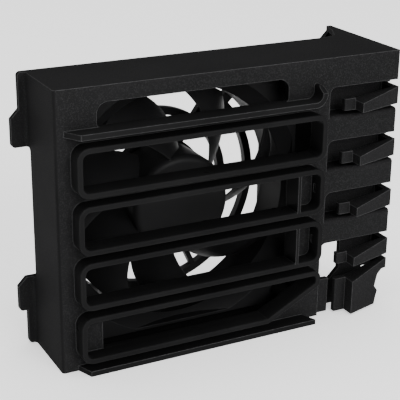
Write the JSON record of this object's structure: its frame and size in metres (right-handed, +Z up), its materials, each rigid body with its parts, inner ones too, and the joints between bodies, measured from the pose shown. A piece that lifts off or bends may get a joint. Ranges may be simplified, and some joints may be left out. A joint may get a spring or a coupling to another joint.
{
  "type": "card guide and fan duct",
  "caption": "Black plastic card guide with stacked air ducts, spring card latches on one side and an axial fan behind the ducts.",
  "frame": {"origin": "centre of the bounding box in plan, at the level of the base", "axes": "+Z up, -Y towards the front panel with the duct rims, +X towards the side with the latches"},
  "size_m": [0.1412, 0.0528, 0.102],
  "materials": {
    "shroud_plastic": "fine-grained satin black moulding",
    "fan_plastic": "smooth black moulding",
    "guard_plastic": "matte black moulding",
    "screw_steel": "zinc plated",
    "label_film": "blank silver-grey film",
    "tube_brass": "turned",
    "bearing_steel": "ground",
    "yoke_steel": "drawn sheet",
    "magnet_rubber": "bonded magnet strip, matte dark grey",
    "shaft_steel": "polished",
    "spring_steel": "drawn wire",
    "core_steel": "stacked sheet",
    "insulator_plastic": "natural white moulding",
    "winding_copper": "enamelled copper wire",
    "board_laminate": "green glass laminate",
    "chip_plastic": "moulded black"
  },
  "bodies": {
    "housing": {"duct_housing": "shroud_plastic", "fan_frame": "fan_plastic", "base_label": "label_film", "finger_guard": "guard_plastic", "fan_screws": "screw_steel", "bearing_tube": "tube_brass", "bearings": "bearing_steel", "stator_core": "core_steel", "stator_insulators": "insulator_plastic", "windings": "winding_copper", "motor_board": "board_laminate", "board_chips": "chip_plastic"},
    "rotor": {"impeller": "fan_plastic", "rotor_yoke": "yoke_steel", "ring_magnet": "magnet_rubber", "rotor_shaft": "shaft_steel", "retaining_clip": "spring_steel", "preload_spring": "spring_steel"},
    "latch_1": {"card_latch_1": "shroud_plastic"},
    "latch_2": {"card_latch_2": "shroud_plastic"},
    "latch_3": {"card_latch_3": "shroud_plastic"},
    "latch_4": {"card_latch_4": "shroud_plastic"},
    "latch_5": {"card_latch_5": "shroud_plastic"}
  },
  "joints": [
    {"name": "fan_spin", "type": "hinge", "parent": "housing", "child": "rotor", "pos_m": [-0.0134, 0.00185, 0.051], "axis": [0, 1, 0], "continuous": true},
    {"name": "latch_1_flex", "type": "hinge", "parent": "housing", "child": "latch_1", "pos_m": [0.0696, -0.01405, 0.08515], "axis": [0, 0, -1], "range_deg": [0, 14], "stiffness_Nm_per_rad": 0.25},
    {"name": "latch_2_flex", "type": "hinge", "parent": "housing", "child": "latch_2", "pos_m": [0.0696, -0.01405, 0.06483], "axis": [0, 0, -1], "range_deg": [0, 14], "stiffness_Nm_per_rad": 0.25},
    {"name": "latch_3_flex", "type": "hinge", "parent": "housing", "child": "latch_3", "pos_m": [0.0696, -0.01405, 0.04451], "axis": [0, 0, -1], "range_deg": [0, 14], "stiffness_Nm_per_rad": 0.25},
    {"name": "latch_4_flex", "type": "hinge", "parent": "housing", "child": "latch_4", "pos_m": [0.0696, -0.01405, 0.02419], "axis": [0, 0, -1], "range_deg": [0, 14], "stiffness_Nm_per_rad": 0.25},
    {"name": "latch_5_flex", "type": "hinge", "parent": "housing", "child": "latch_5", "pos_m": [0.0696, -0.01405, 0.01695], "axis": [0, 0, -1], "range_deg": [0, 14], "stiffness_Nm_per_rad": 0.25}
  ]
}
